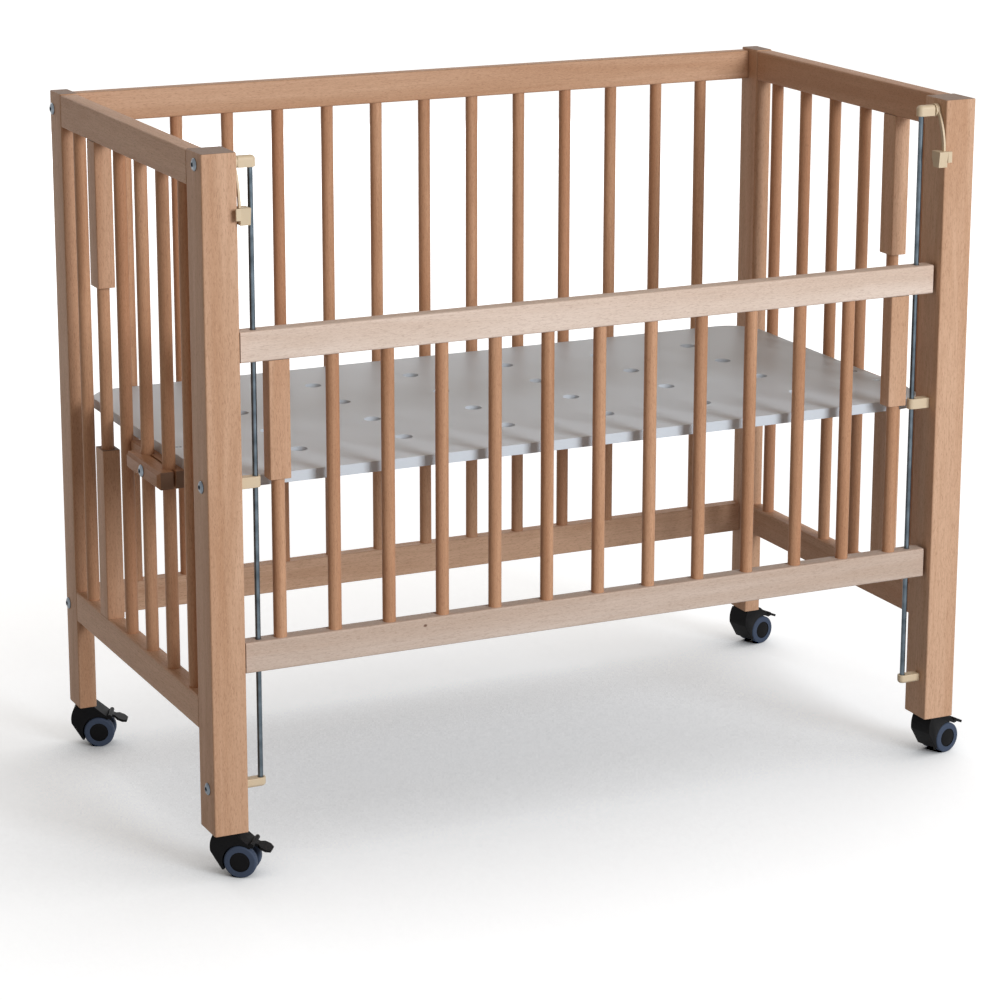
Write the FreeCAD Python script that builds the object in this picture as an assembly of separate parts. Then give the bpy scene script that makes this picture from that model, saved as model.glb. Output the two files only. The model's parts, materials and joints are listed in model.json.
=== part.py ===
"""Bedside sleeper crib in beech: slatted frame on four castors, a drop side that slides on two
guide rods, a height-adjustable base board clamped to the end bars, and two hanging hooks.

Frame: +X along the crib's length, +Y to the back, +Z up. The origin is on the floor, under the
middle of the whole crib's box. The drop side is the front (-Y) side. Sizes are in millimetres.
The pieces are drawn about the middle of the four posts, and main() moves them to the origin.
"""

import FreeCAD
import Part

import math
import os

# ---------------------------------------------------------------- driving dimensions
# Posts. Levels of rails, brackets and the base are measured from the posts' lower ends.
LENGTH = 960.0  # over the posts, along X
DEPTH = 515.0  # over the posts, along Y
POST_HEIGHT = 760.0
CASTOR_HEIGHT = 52.0  # floor to the posts' lower ends
FRONT_POST_WIDTH = 40.0
FRONT_POST_DEPTH = 46.0
BACK_POST_WIDTH = 22.0
BACK_POST_DEPTH = 40.0
POST_EDGE = 2.0  # rounding of the posts' long edges

# Rails of the two ends and of the back.
END_RAIL_THICK = 21.0
END_TOP_RAIL_HEIGHT = 38.0
END_BOTTOM_RAIL_HEIGHT = 37.0
END_TOP_SET_DOWN = 1.0  # post top to the end rail's top
END_BOTTOM_RAIL_TOP = 150.0
TENON_LENGTH = 20.0  # of the end rails, inside the posts
TENON_THICK = 9.0
TENON_SHOULDER = 7.0  # rail's top and bottom to the tenon
TENON_ROOM = 0.1
BACK_RAIL_THICK = 18.5
BACK_TOP_RAIL_HEIGHT = 36.0
BACK_BOTTOM_RAIL_HEIGHT = 38.0
BACK_TOP_SET_DOWN = 3.0
BACK_BOTTOM_RAIL_TOP = 147.0
RAIL_EDGE = 2.0

# Round bars.
BAR_DIAMETER = 15.0
END_BAR_COUNT = 6
END_BAR_PITCH = 71.5
LONG_BAR_COUNT = 13
LONG_BAR_FROM_POST = 48.2  # front post's inner face to the first bar's middle

# Square stop blocks round one bar of each end. They bound the base's travel.
STOP_BLOCK_DEPTH = 28.0
UPPER_STOP_LENGTH = 171.0
LOWER_STOP_LENGTH = 206.0
BLOCK_EDGE = 1.5
BLOCK_BORE_ROOM = 0.1  # radial
STOP_BAR_LEFT = 4  # bars are counted from 0 at the front
STOP_BAR_RIGHT = 1

# Drop side, at the level in which it is shown.
DROP_FROM_FRONT = 19.5  # front posts' outer face to the drop side's middle
DROP_RAIL_THICK = 20.0
DROP_TOP_RAIL_HEIGHT = 34.0
DROP_BOTTOM_RAIL_HEIGHT = 35.0
DROP_TOP_LEVEL = 564.0
DROP_HEIGHT = 383.0  # over both rails
DROP_END_GAP = 4.0  # rail's end to the post
DROP_BLOCK_WIDTH = 24.5
DROP_BLOCK_LENGTH = 133.0

# Guide rods and the plastic brackets that hold them.
ROD_DIAMETER = 6.0
ROD_FROM_POST = 22.0
ROD_SLIDE_ROOM = 0.5  # radial, in the drop rails
ROD_HOLD_ROOM = 0.05  # radial, in the brackets
ROD_END_SET_BACK = 3.0
BRACKET_WIDTH = 11.5
TOP_BRACKET_HEIGHT = 12.5
MIDDLE_BRACKET_HEIGHT = 12.5
BOTTOM_BRACKET_HEIGHT = 10.5
BRACKET_EDGE = 4.0  # the top brackets' rounded upper edge and the bottom brackets' lower one
TOP_BRACKET_SET_DOWN = 7.0
MIDDLE_BRACKET_LEVEL = 389.5
BOTTOM_BRACKET_LEVEL = 45.5
NECK_DIAMETER = 9.5  # round neck of the top brackets, which carries the hook's eye
NECK_LENGTH = 6.6

# Hanging hooks that lock the raised drop side.
EYE_DIAMETER = 15.0
EYE_WIDTH = 5.0
EYE_ROOM = 0.08  # radial, on the neck
HOOK_SIDE_ROOM = 0.8  # eye and arm to the post
ARM_THICK = 2.4
ARM_WIDTH = 4.5
ARM_BOW = 5.0  # how far the arm's middle bends forward
ARM_END_SET_BACK = 6.0  # hook's front to the arm's lower end
HOOK_TOP_LEVEL = 701.0
HOOK_HEIGHT = 18.5
HOOK_WIDTH = 11.5
HOOK_TO_RAIL = 0.6
HOOK_LIP_REACH = 4.5  # how far the lip laps over the post's front
HOOK_LIP_GAP = 5.6  # lip to the post's front, used up when the hook swings in
HOOK_LIP_THICK = 2.5
HOOK_TAPER = 2.0

# Heads of the screws and bolts: a low truncated cone.
HEAD_DIAMETER = 14.0
HEAD_TOP_DIAMETER = 10.0
HEAD_HEIGHT = 3.0
BOLT_DIAMETER = 6.0

# Base board.
BOARD_THICK = 12.0
BOARD_TOP_LEVEL = 396.0
BOARD_END_GAP = 1.5
BOARD_FRONT_GAP = 10.5
BOARD_BACK_GAP = 4.5
BOARD_CORNER = 45.0
VENT_DIAMETER = 20.0
VENT_COLUMNS = 6
VENT_ROWS = 4
VENT_PITCH_X = 129.6
VENT_PITCH_Y = 92.0

# Clamps that hold the base on the end bars.
JAW_HEIGHT = 20.0
JAW_GAP = 3.0  # between the inner and the outer jaw
JAW_BAR_ROOM = 0.4  # radial
JAW_PAST_BAR = 18.5  # bar's centre to the jaws' ends
OUTER_JAW_THICK = 18.5
OUTER_JAW_EDGE = 3.5
INNER_JAW_THICK = 20.0
INNER_JAW_BAR_GAP = 1.5  # the inner jaw's back end to the next bar
JAW_FIRST_BAR = 1

# Twin-wheel castors with a brake pedal. Each stands turned about its stem as it came to rest.
CASTOR_TURNS = {"front_left": -35.0, "front_right": 14.0, "back_left": -25.0, "back_right": 16.0}
WHEEL_DIAMETER = 37.5
WHEEL_WIDTH = 10.0
WHEEL_GAP = 10.4  # between the twin wheels
AXLE_DIAMETER = 5.0
AXLE_ROOM = 0.05  # radial
CASTOR_TRAIL = 20.0  # stem to the wheels' axis
STEM_DIAMETER = 8.0
STEM_IN_POST = 34.0
STEM_ROOM = 0.05  # radial
SWIVEL_GAP = 0.5  # castor body to the post's foot
HOOD_ROOM = 1.25  # tyre to hood
HOOD_THICK = 2.5
HOOD_START = 56.0  # degrees above +X
HOOD_END = 206.0
BODY_TOP_LEFT = 9.0  # swivel axis to the body's upper corners
BODY_TOP_RIGHT = 15.0
BODY_BULGE = 13.5  # how far the body's back swells out beyond the axis
BODY_BULGE_LEVEL = 30.0  # above the floor
WEB_ROOM = 0.7  # web to each wheel
WEB_PAST_AXLE = 7.0
WEB_TIP_ANGLE = -50.0  # degrees above +X
PEDAL_PIVOT_OUT = 24.0  # from the wheel's axis
PEDAL_PIVOT_ANGLE = 56.0  # degrees above +X
PEDAL_BARREL_DIAMETER = 5.6
PEDAL_BARREL_ROOM = 0.05  # radial
PEDAL_WIDTH = 12.0  # barrel and arm
PEDAL_THICK = 3.0
PEDAL_ARM_LENGTH = 6.0
PEDAL_TAB_WIDTH = 22.0
PEDAL_TAB_TIP_WIDTH = 12.0
PEDAL_TAB_LENGTH = 16.0
PEDAL_DROOP = 22.0  # degrees below +X

# ---------------------------------------------------------------- places worked out from them
X_OUT = LENGTH / 2
Y_FRONT = -DEPTH / 2
Y_BACK = DEPTH / 2
POST_FOOT = CASTOR_HEIGHT
POST_TOP = POST_FOOT + POST_HEIGHT
FRONT_INNER = X_OUT - FRONT_POST_WIDTH
BACK_INNER = X_OUT - BACK_POST_WIDTH
END_FRONT = Y_FRONT + FRONT_POST_DEPTH  # the end rails run from here
END_BACK = Y_BACK - BACK_POST_DEPTH
END_BAR_X = X_OUT - END_RAIL_THICK / 2
END_TOP_LOW = POST_TOP - END_TOP_SET_DOWN - END_TOP_RAIL_HEIGHT
END_BOTTOM_HIGH = POST_FOOT + END_BOTTOM_RAIL_TOP
BACK_RAIL_Y = Y_BACK - BACK_RAIL_THICK / 2
BACK_TOP_LOW = POST_TOP - BACK_TOP_SET_DOWN - BACK_TOP_RAIL_HEIGHT
BACK_BOTTOM_HIGH = POST_FOOT + BACK_BOTTOM_RAIL_TOP
DROP_Y = Y_FRONT + DROP_FROM_FRONT
DROP_TOP = POST_FOOT + DROP_TOP_LEVEL
DROP_BOTTOM = DROP_TOP - DROP_HEIGHT
ROD_X = FRONT_INNER - ROD_FROM_POST
TOP_BRACKET_HIGH = POST_TOP - TOP_BRACKET_SET_DOWN
MIDDLE_BRACKET_LOW = POST_FOOT + MIDDLE_BRACKET_LEVEL
BOTTOM_BRACKET_LOW = POST_FOOT + BOTTOM_BRACKET_LEVEL
BRACKET_SPANS = {
    "top": (TOP_BRACKET_HIGH - TOP_BRACKET_HEIGHT, TOP_BRACKET_HIGH),
    "middle": (MIDDLE_BRACKET_LOW, MIDDLE_BRACKET_LOW + MIDDLE_BRACKET_HEIGHT),
    "bottom": (BOTTOM_BRACKET_LOW, BOTTOM_BRACKET_LOW + BOTTOM_BRACKET_HEIGHT),
}
ROD_LOW = BOTTOM_BRACKET_LOW + ROD_END_SET_BACK
ROD_HIGH = TOP_BRACKET_HIGH - ROD_END_SET_BACK
NECK_Z = TOP_BRACKET_HIGH - TOP_BRACKET_HEIGHT / 2
BOARD_TOP = POST_FOOT + BOARD_TOP_LEVEL
BOARD_X = X_OUT - END_RAIL_THICK - BOARD_END_GAP
BOARD_FRONT = DROP_Y + DROP_RAIL_THICK / 2 + BOARD_FRONT_GAP
BOARD_BACK = Y_BACK - BACK_RAIL_THICK - BOARD_BACK_GAP
JAW_TOP = BOARD_TOP - BOARD_THICK
JAW_LOW = JAW_TOP - JAW_HEIGHT
SIDES = {"left": -1, "right": 1}
X, Y, Z = FreeCAD.Vector(1, 0, 0), FreeCAD.Vector(0, 1, 0), FreeCAD.Vector(0, 0, 1)


def places(count, pitch, middle=0.0):
    """Centres of evenly spaced pieces."""
    return [middle + (k - (count - 1) / 2) * pitch for k in range(count)]


END_BAR_YS = places(END_BAR_COUNT, END_BAR_PITCH, (END_FRONT + END_BACK) / 2)
LONG_BAR_PITCH = 2 * (FRONT_INNER - LONG_BAR_FROM_POST) / (LONG_BAR_COUNT - 1)
LONG_BAR_XS = places(LONG_BAR_COUNT, LONG_BAR_PITCH)
JAW_BAR_YS = END_BAR_YS[JAW_FIRST_BAR:JAW_FIRST_BAR + 2]
CLAMP_Y = sum(JAW_BAR_YS) / 2
CLAMP_Z = (JAW_TOP + JAW_LOW) / 2


# ---------------------------------------------------------------- helpers
def at(x, y, z):
    return FreeCAD.Vector(x, y, z)


def block(x0, x1, y0, y1, z0, z1):
    """A box between two corners, given in any order."""
    low = at(min(x0, x1), min(y0, y1), min(z0, z1))
    return Part.makeBox(abs(x1 - x0), abs(y1 - y0), abs(z1 - z0), low)


def cylinder(diameter, start, axis, length):
    return Part.makeCylinder(diameter / 2, length, start, axis)


def edges_along(shape, axis):
    """The straight edges that run along an axis."""
    return [edge for edge in shape.Edges
            if isinstance(edge.Curve, Part.Line) and abs(edge.Curve.Direction.dot(axis)) > 0.999999]


def lies_at(edge, level):
    """Whether an edge lies flat at a level."""
    return edge.BoundBox.ZMin > level - 0.01 and edge.BoundBox.ZMax < level + 0.01


def softened(shape, axis, radius):
    """The shape with its edges along an axis rounded."""
    return shape.makeFillet(radius, edges_along(shape, axis))


def prism(points, path):
    """A flat outline of points pushed along a vector."""
    return Part.Face(Part.makePolygon(points + points[:1])).extrude(path)


def mirrored(shape):
    """The same shape at the other end of the crib."""
    return shape.mirror(at(0, 0, 0), X)


def screw_head(seat, axis):
    """A low conical head that stands on seat, away from the way the screw is driven."""
    return Part.makeCone(HEAD_DIAMETER / 2, HEAD_TOP_DIAMETER / 2, HEAD_HEIGHT, seat, axis * -1)


def bars(spots, low, high):
    """Round bars between two rails' faces."""
    return Part.makeCompound([
        cylinder(BAR_DIAMETER, at(x, y, low), Z, high - low) for x, y in spots
    ])


def square_block(x, y, size_x, size_y, low, high):
    """A block with softened edges, bored for the bar that it surrounds."""
    shape = block(x - size_x / 2, x + size_x / 2, y - size_y / 2, y + size_y / 2, low, high)
    shape = softened(shape, Z, BLOCK_EDGE)
    return shape.cut(cylinder(BAR_DIAMETER + 2 * BLOCK_BORE_ROOM, at(x, y, low), Z, high - low))


# ---------------------------------------------------------------- posts and fixed rails
def post(side, width, y_outer, y_inner, end_face):
    """A post, with mortises for the end rails and a socket for the castor's stem."""
    x_outer = side * X_OUT
    shape = block(x_outer, x_outer - side * width, y_outer, y_inner, POST_FOOT, POST_TOP)
    shape = softened(shape, Z, POST_EDGE)
    cuts = [tenon(side, end_face, low, height, TENON_ROOM) for low, height in END_RAIL_SPANS]
    foot = at(x_outer - side * width / 2, (y_outer + y_inner) / 2, POST_FOOT)
    cuts.append(cylinder(STEM_DIAMETER + 2 * STEM_ROOM, foot, Z, STEM_IN_POST + 1.0))
    return shape.cut(cuts)


END_RAIL_SPANS = (
    (END_TOP_LOW, END_TOP_RAIL_HEIGHT),
    (END_BOTTOM_HIGH - END_BOTTOM_RAIL_HEIGHT, END_BOTTOM_RAIL_HEIGHT),
)


def tenon(side, end_face, low, height, room=0.0):
    """The tongue at one end of an end rail, or with room the mortise that takes it."""
    outward = -1 if end_face < 0 else 1
    x = side * END_BAR_X
    half = TENON_THICK / 2 + room
    return block(x - half, x + half, end_face, end_face + outward * (TENON_LENGTH + room),
                 low + TENON_SHOULDER - room, low + height - TENON_SHOULDER + room)


def end_rail(side, low, height):
    shape = block(side * X_OUT, side * (X_OUT - END_RAIL_THICK), END_FRONT, END_BACK,
                  low, low + height)
    shape = softened(shape, Y, RAIL_EDGE)
    return shape.fuse([tenon(side, face, low, height) for face in (END_FRONT, END_BACK)])


def back_rail(low, height):
    shape = block(-BACK_INNER, BACK_INNER, Y_BACK - BACK_RAIL_THICK, Y_BACK, low, low + height)
    return softened(shape, X, RAIL_EDGE)


def stop_blocks(side, bar_index):
    """The upper and the lower block round one end bar."""
    x, y = side * END_BAR_X, END_BAR_YS[bar_index]
    spans = (
        (END_TOP_LOW - UPPER_STOP_LENGTH, END_TOP_LOW),
        (END_BOTTOM_HIGH, END_BOTTOM_HIGH + LOWER_STOP_LENGTH),
    )
    return Part.makeCompound([
        square_block(x, y, END_RAIL_THICK, STOP_BLOCK_DEPTH, low, high) for low, high in spans
    ])


def back_bolts():
    """Heads of the bolts that hold the back's rails, on the back posts' outer faces."""
    levels = (BACK_TOP_LOW + BACK_TOP_RAIL_HEIGHT / 2, BACK_BOTTOM_HIGH - BACK_BOTTOM_RAIL_HEIGHT / 2)
    return Part.makeCompound([
        screw_head(at(side * X_OUT, BACK_RAIL_Y, level), X * -side)
        for side in SIDES.values() for level in levels
    ])


# ---------------------------------------------------------------- guide rods and brackets
def bracket(place):
    """The right-hand bracket: a tongue whose round end holds the guide rod."""
    low, high = BRACKET_SPANS[place]
    root = FRONT_INNER - (NECK_LENGTH if place == "top" else 0.0)
    half = BRACKET_WIDTH / 2
    end = cylinder(BRACKET_WIDTH, at(ROD_X, DROP_Y, low), Z, high - low)
    tongue = block(ROD_X, root, DROP_Y - half, DROP_Y + half, low, high)
    shape = end.fuse(tongue).removeSplitter()
    if place != "middle":
        level = high if place == "top" else low
        outer = [e for e in shape.Edges if lies_at(e, level) and e.BoundBox.XMin < root - 1.0]
        shape = shape.makeFillet(BRACKET_EDGE, outer)
    if place == "top":
        shape = shape.fuse(cylinder(NECK_DIAMETER, at(root, DROP_Y, NECK_Z), X, NECK_LENGTH))
    hole_low = ROD_LOW if place == "bottom" else low
    hole_high = ROD_HIGH if place == "top" else high
    hole = cylinder(ROD_DIAMETER + 2 * ROD_HOLD_ROOM, at(ROD_X, DROP_Y, hole_low), Z, hole_high - hole_low)
    return shape.cut(hole)


def bracket_pair(place):
    shape = bracket(place)
    return Part.makeCompound([mirrored(shape), shape])


def bracket_screws():
    """Heads of the screws that pull the brackets to the front posts."""
    return Part.makeCompound([
        screw_head(at(side * X_OUT, DROP_Y, (low + high) / 2), X * -side)
        for side in SIDES.values() for low, high in BRACKET_SPANS.values()
    ])


def guide_rod(side):
    return cylinder(ROD_DIAMETER, at(side * ROD_X, DROP_Y, ROD_LOW), Z, ROD_HIGH - ROD_LOW)


# ---------------------------------------------------------------- drop side
def drop_rail(low, height):
    """A drop-side rail with a hole at each end for the guide rod."""
    reach = FRONT_INNER - DROP_END_GAP
    half = DROP_RAIL_THICK / 2
    shape = block(-reach, reach, DROP_Y - half, DROP_Y + half, low, low + height)
    shape = softened(shape, X, RAIL_EDGE)
    diameter = ROD_DIAMETER + 2 * ROD_SLIDE_ROOM
    return shape.cut([cylinder(diameter, at(side * ROD_X, DROP_Y, low), Z, height)
                      for side in SIDES.values()])


def drop_blocks():
    """The square blocks round the first and the last bar, under the top rail."""
    high = DROP_TOP - DROP_TOP_RAIL_HEIGHT
    return Part.makeCompound([
        square_block(x, DROP_Y, DROP_BLOCK_WIDTH, DROP_RAIL_THICK, high - DROP_BLOCK_LENGTH, high)
        for x in (LONG_BAR_XS[0], LONG_BAR_XS[-1])
    ])


# ---------------------------------------------------------------- hanging hooks
def latch():
    """The right-hand hook on its bowed arm, hung by an eye from the top bracket's neck."""
    face = FRONT_INNER - HOOK_SIDE_ROOM
    top = POST_FOOT + HOOK_TOP_LEVEL
    back = DROP_Y - DROP_RAIL_THICK / 2 - HOOK_TO_RAIL
    front = Y_FRONT - HOOK_LIP_GAP - HOOK_LIP_THICK
    eye = cylinder(EYE_DIAMETER, at(face, DROP_Y, NECK_Z), X * -1, EYE_WIDTH)
    arm = bowed_arm(face, (DROP_Y - EYE_DIAMETER / 2 + 0.6, NECK_Z), (front + ARM_END_SET_BACK, top - 1.0))
    body = prism([
        at(face, front, top), at(face, back, top), at(face, back, top - HOOK_HEIGHT * 0.45),
        at(face, back - 2 * HOOK_TAPER, top - HOOK_HEIGHT),
        at(face, front + HOOK_TAPER, top - HOOK_HEIGHT),
    ], X * -HOOK_WIDTH)
    lip = block(face, FRONT_INNER + HOOK_LIP_REACH, front, front + HOOK_LIP_THICK,
                top - HOOK_HEIGHT * 0.7, top)
    shape = eye.fuse([arm, body, lip]).removeSplitter()
    bore = cylinder(NECK_DIAMETER + 2 * EYE_ROOM, at(FRONT_INNER, DROP_Y, NECK_Z), X * -1, NECK_LENGTH)
    return shape.cut(bore)


def bowed_arm(face, start, end):
    """A strip of even width along an arc in the Y-Z plane that bows to the front."""
    middle = ((start[0] + end[0]) / 2 - ARM_BOW, (start[1] + end[1]) / 2 - ARM_BOW)
    sides = []
    for shift in (0.0, ARM_WIDTH):
        sides.append([at(face, y + shift, z) for y, z in (start, middle, end)])
    front, back = sides
    outline = Part.Wire([
        Part.Arc(*front).toShape(),
        Part.makeLine(front[2], back[2]),
        Part.Arc(back[2], back[1], back[0]).toShape(),
        Part.makeLine(back[0], front[0]),
    ])
    return Part.Face(outline).extrude(X * -ARM_THICK)


# ---------------------------------------------------------------- base board and its clamps
JAW_FRONT = JAW_BAR_YS[0] - JAW_PAST_BAR
JAW_BACK = JAW_BAR_YS[1] + JAW_PAST_BAR
OUTER_JAW_IN = END_BAR_X + JAW_GAP / 2
OUTER_JAW_OUT = OUTER_JAW_IN + OUTER_JAW_THICK
INNER_JAW_OUT = END_BAR_X - JAW_GAP / 2
INNER_JAW_IN = INNER_JAW_OUT - INNER_JAW_THICK
INNER_JAW_BACK = END_BAR_YS[JAW_FIRST_BAR + 2] - BAR_DIAMETER / 2 - INNER_JAW_BAR_GAP
CLAMP_BOLT_END = INNER_JAW_IN + 2.0


def base_board():
    """The board: round corners and a grid of air holes."""
    shape = block(-BOARD_X, BOARD_X, BOARD_FRONT, BOARD_BACK, JAW_TOP, BOARD_TOP)
    shape = softened(shape, Z, BOARD_CORNER)
    middle_y = (BOARD_FRONT + BOARD_BACK) / 2
    return shape.cut([
        cylinder(VENT_DIAMETER, at(x, y, JAW_TOP), Z, BOARD_THICK)
        for x in places(VENT_COLUMNS, VENT_PITCH_X)
        for y in places(VENT_ROWS, VENT_PITCH_Y, middle_y)
    ])


def jaw_cuts():
    """What the right-hand jaws give way to: the two gripped bars and the bolt."""
    diameter = BAR_DIAMETER + 2 * JAW_BAR_ROOM
    cuts = [cylinder(diameter, at(END_BAR_X, y, JAW_LOW), Z, JAW_HEIGHT) for y in JAW_BAR_YS]
    reach = OUTER_JAW_OUT - CLAMP_BOLT_END
    cuts.append(cylinder(BOLT_DIAMETER, at(OUTER_JAW_OUT, CLAMP_Y, CLAMP_Z), X * -1, reach))
    return cuts


def inner_jaws():
    """The battens under the board's ends, notched for the bars."""
    shape = block(INNER_JAW_IN, INNER_JAW_OUT, JAW_FRONT, INNER_JAW_BACK, JAW_LOW, JAW_TOP)
    shape = shape.cut(jaw_cuts())
    return Part.makeCompound([mirrored(shape), shape])


def outer_jaws():
    """The blocks outside the bars, chamfered all round, that the clamp bolts pull inwards."""
    shape = block(OUTER_JAW_IN, OUTER_JAW_OUT, JAW_FRONT, JAW_BACK, JAW_LOW, JAW_TOP)
    outer = [e for e in shape.Edges if e.BoundBox.XMin > OUTER_JAW_OUT - 0.01]
    shape = shape.makeChamfer(OUTER_JAW_EDGE, outer)
    shape = shape.cut(jaw_cuts())
    return Part.makeCompound([mirrored(shape), shape])


def clamp_bolts():
    start = at(OUTER_JAW_OUT, CLAMP_Y, CLAMP_Z)
    shank = cylinder(BOLT_DIAMETER, start, X * -1, OUTER_JAW_OUT - CLAMP_BOLT_END)
    bolt = screw_head(start, X * -1).fuse(shank)
    return Part.makeCompound([mirrored(bolt), bolt])


# ---------------------------------------------------------------- castors
WHEEL_R = WHEEL_DIAMETER / 2
WEB_HALF = WHEEL_GAP / 2 - WEB_ROOM
HOOD_HALF = WHEEL_GAP / 2 + WHEEL_WIDTH
HOOD_IN = WHEEL_R + HOOD_ROOM
HOOD_OUT = HOOD_IN + HOOD_THICK
BODY_TOP = CASTOR_HEIGHT - SWIVEL_GAP
CASTOR_SPOTS = {
    "front_left": (-X_OUT + FRONT_POST_WIDTH / 2, Y_FRONT + FRONT_POST_DEPTH / 2),
    "front_right": (X_OUT - FRONT_POST_WIDTH / 2, Y_FRONT + FRONT_POST_DEPTH / 2),
    "back_left": (-X_OUT + BACK_POST_WIDTH / 2, Y_BACK - BACK_POST_DEPTH / 2),
    "back_right": (X_OUT - BACK_POST_WIDTH / 2, Y_BACK - BACK_POST_DEPTH / 2),
}


def axle_middle(x, y):
    return at(x + CASTOR_TRAIL, y, WHEEL_R)


def from_axle(x, y, radius, degrees, shift=0.0):
    """A point round the wheel's axis, at an angle above +X."""
    turn = math.radians(degrees)
    return axle_middle(x, y) + at(radius * math.cos(turn), shift, radius * math.sin(turn))


def pedal_pivot(x, y):
    return from_axle(x, y, PEDAL_PIVOT_OUT, PEDAL_PIVOT_ANGLE)


def swivelled(name, thing):
    """A shape or a point of a castor, turned about its stem as the castor stands."""
    x, y = CASTOR_SPOTS[name]
    turned = Part.Vertex(thing) if isinstance(thing, FreeCAD.Vector) else thing
    turned = turned.rotated(at(x, y, 0), Z, CASTOR_TURNS[name])
    return turned.Point if isinstance(thing, FreeCAD.Vector) else turned


def castor_wheels(x, y):
    """The twin wheels on their axle."""
    middle = axle_middle(x, y)
    axle = cylinder(AXLE_DIAMETER, middle - Y * (WHEEL_GAP / 2), Y, WHEEL_GAP)
    near = cylinder(WHEEL_DIAMETER, middle - Y * HOOD_HALF, Y, WHEEL_WIDTH)
    far = cylinder(WHEEL_DIAMETER, middle + Y * (WHEEL_GAP / 2), Y, WHEEL_WIDTH)
    return near.fuse([axle, far])


def castor_housing(x, y):
    """The castor's body: a web between the wheels, a hood over them and the stem on top."""
    middle = axle_middle(x, y)
    near = y - HOOD_HALF
    hood_right = from_axle(x, y, HOOD_OUT, HOOD_START, -HOOD_HALF)
    web_tip = from_axle(x, y, WEB_PAST_AXLE, WEB_TIP_ANGLE, -HOOD_HALF)
    hood_left = from_axle(x, y, HOOD_OUT, HOOD_END, -HOOD_HALF)
    back_low = at(x - BODY_BULGE, near, BODY_BULGE_LEVEL)
    back_middle = at(x - BODY_BULGE, near, (BODY_BULGE_LEVEL + BODY_TOP) / 2)
    top_left = at(x - BODY_TOP_LEFT, near, BODY_TOP)
    top_right = at(x + BODY_TOP_RIGHT, near, BODY_TOP)
    outline = Part.Wire([
        Part.makeLine(hood_right, web_tip),
        Part.makeLine(web_tip, hood_left),
        Part.makeLine(hood_left, back_low),
        Part.Arc(back_low, back_middle, top_left).toShape(),
        Part.makeLine(top_left, top_right),
        Part.makeLine(top_right, hood_right),
    ])
    body = Part.Face(outline).extrude(Y * (2 * HOOD_HALF))
    stem = cylinder(STEM_DIAMETER, at(x, y, BODY_TOP), Z, SWIVEL_GAP + STEM_IN_POST)
    depth = HOOD_HALF - WEB_HALF + 5.0
    return body.fuse(stem).cut([
        cylinder(2 * HOOD_IN, middle + Y * WEB_HALF, Y, depth),
        cylinder(2 * HOOD_IN, middle - Y * WEB_HALF, Y * -1, depth),
        cylinder(AXLE_DIAMETER + 2 * AXLE_ROOM, middle - Y * HOOD_HALF, Y, 2 * HOOD_HALF),
        cylinder(PEDAL_BARREL_DIAMETER + 2 * PEDAL_BARREL_ROOM, pedal_pivot(x, y) - Y * HOOD_HALF,
                 Y, 2 * HOOD_HALF),
    ])


def castor_pedal(x, y):
    """The brake pedal: a barrel in the hood's end, a short arm and a drooping tab."""
    pivot = pedal_pivot(x, y)
    neck, wide, tip = PEDAL_WIDTH / 2, PEDAL_TAB_WIDTH / 2, PEDAL_TAB_TIP_WIDTH / 2
    flare = PEDAL_ARM_LENGTH + 4.0
    reach = PEDAL_ARM_LENGTH + PEDAL_TAB_LENGTH
    half_outline = [(0, neck), (PEDAL_ARM_LENGTH, neck), (flare, wide), (reach - 5.0, wide), (reach, tip)]
    outline = half_outline + [(a, -b) for a, b in reversed(half_outline)]
    low = pivot.z - PEDAL_THICK / 2
    tab = prism([at(pivot.x + a, pivot.y + b, low) for a, b in outline], Z * PEDAL_THICK)
    tab.rotate(pivot, Y, PEDAL_DROOP)
    barrel = cylinder(PEDAL_BARREL_DIAMETER, pivot - Y * HOOD_HALF, Y, 2 * HOOD_HALF)
    return barrel.fuse(tab).removeSplitter()


# ---------------------------------------------------------------- assembly
def frame_nodes():
    nodes = {}
    for name, side in SIDES.items():
        spots = [(side * END_BAR_X, y) for y in END_BAR_YS]
        nodes[f"post_front_{name}"] = post(side, FRONT_POST_WIDTH, Y_FRONT, END_FRONT, END_FRONT)
        nodes[f"post_back_{name}"] = post(side, BACK_POST_WIDTH, Y_BACK, END_BACK, END_BACK)
        nodes[f"end_{name}_top_rail"] = end_rail(side, *END_RAIL_SPANS[0])
        nodes[f"end_{name}_bottom_rail"] = end_rail(side, *END_RAIL_SPANS[1])
        nodes[f"end_{name}_bars"] = bars(spots, END_BOTTOM_HIGH, END_TOP_LOW)
        nodes[f"guide_rod_{name}"] = guide_rod(side)
    nodes["end_left_stop_blocks"] = stop_blocks(SIDES["left"], STOP_BAR_LEFT)
    nodes["end_right_stop_blocks"] = stop_blocks(SIDES["right"], STOP_BAR_RIGHT)
    nodes["back_top_rail"] = back_rail(BACK_TOP_LOW, BACK_TOP_RAIL_HEIGHT)
    nodes["back_bottom_rail"] = back_rail(BACK_BOTTOM_HIGH - BACK_BOTTOM_RAIL_HEIGHT,
                                          BACK_BOTTOM_RAIL_HEIGHT)
    nodes["back_bars"] = bars([(x, BACK_RAIL_Y) for x in LONG_BAR_XS], BACK_BOTTOM_HIGH, BACK_TOP_LOW)
    nodes["back_bolts"] = back_bolts()
    for place in BRACKET_SPANS:
        nodes[f"rod_brackets_{place}"] = bracket_pair(place)
    nodes["bracket_screws"] = bracket_screws()
    return nodes


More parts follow.
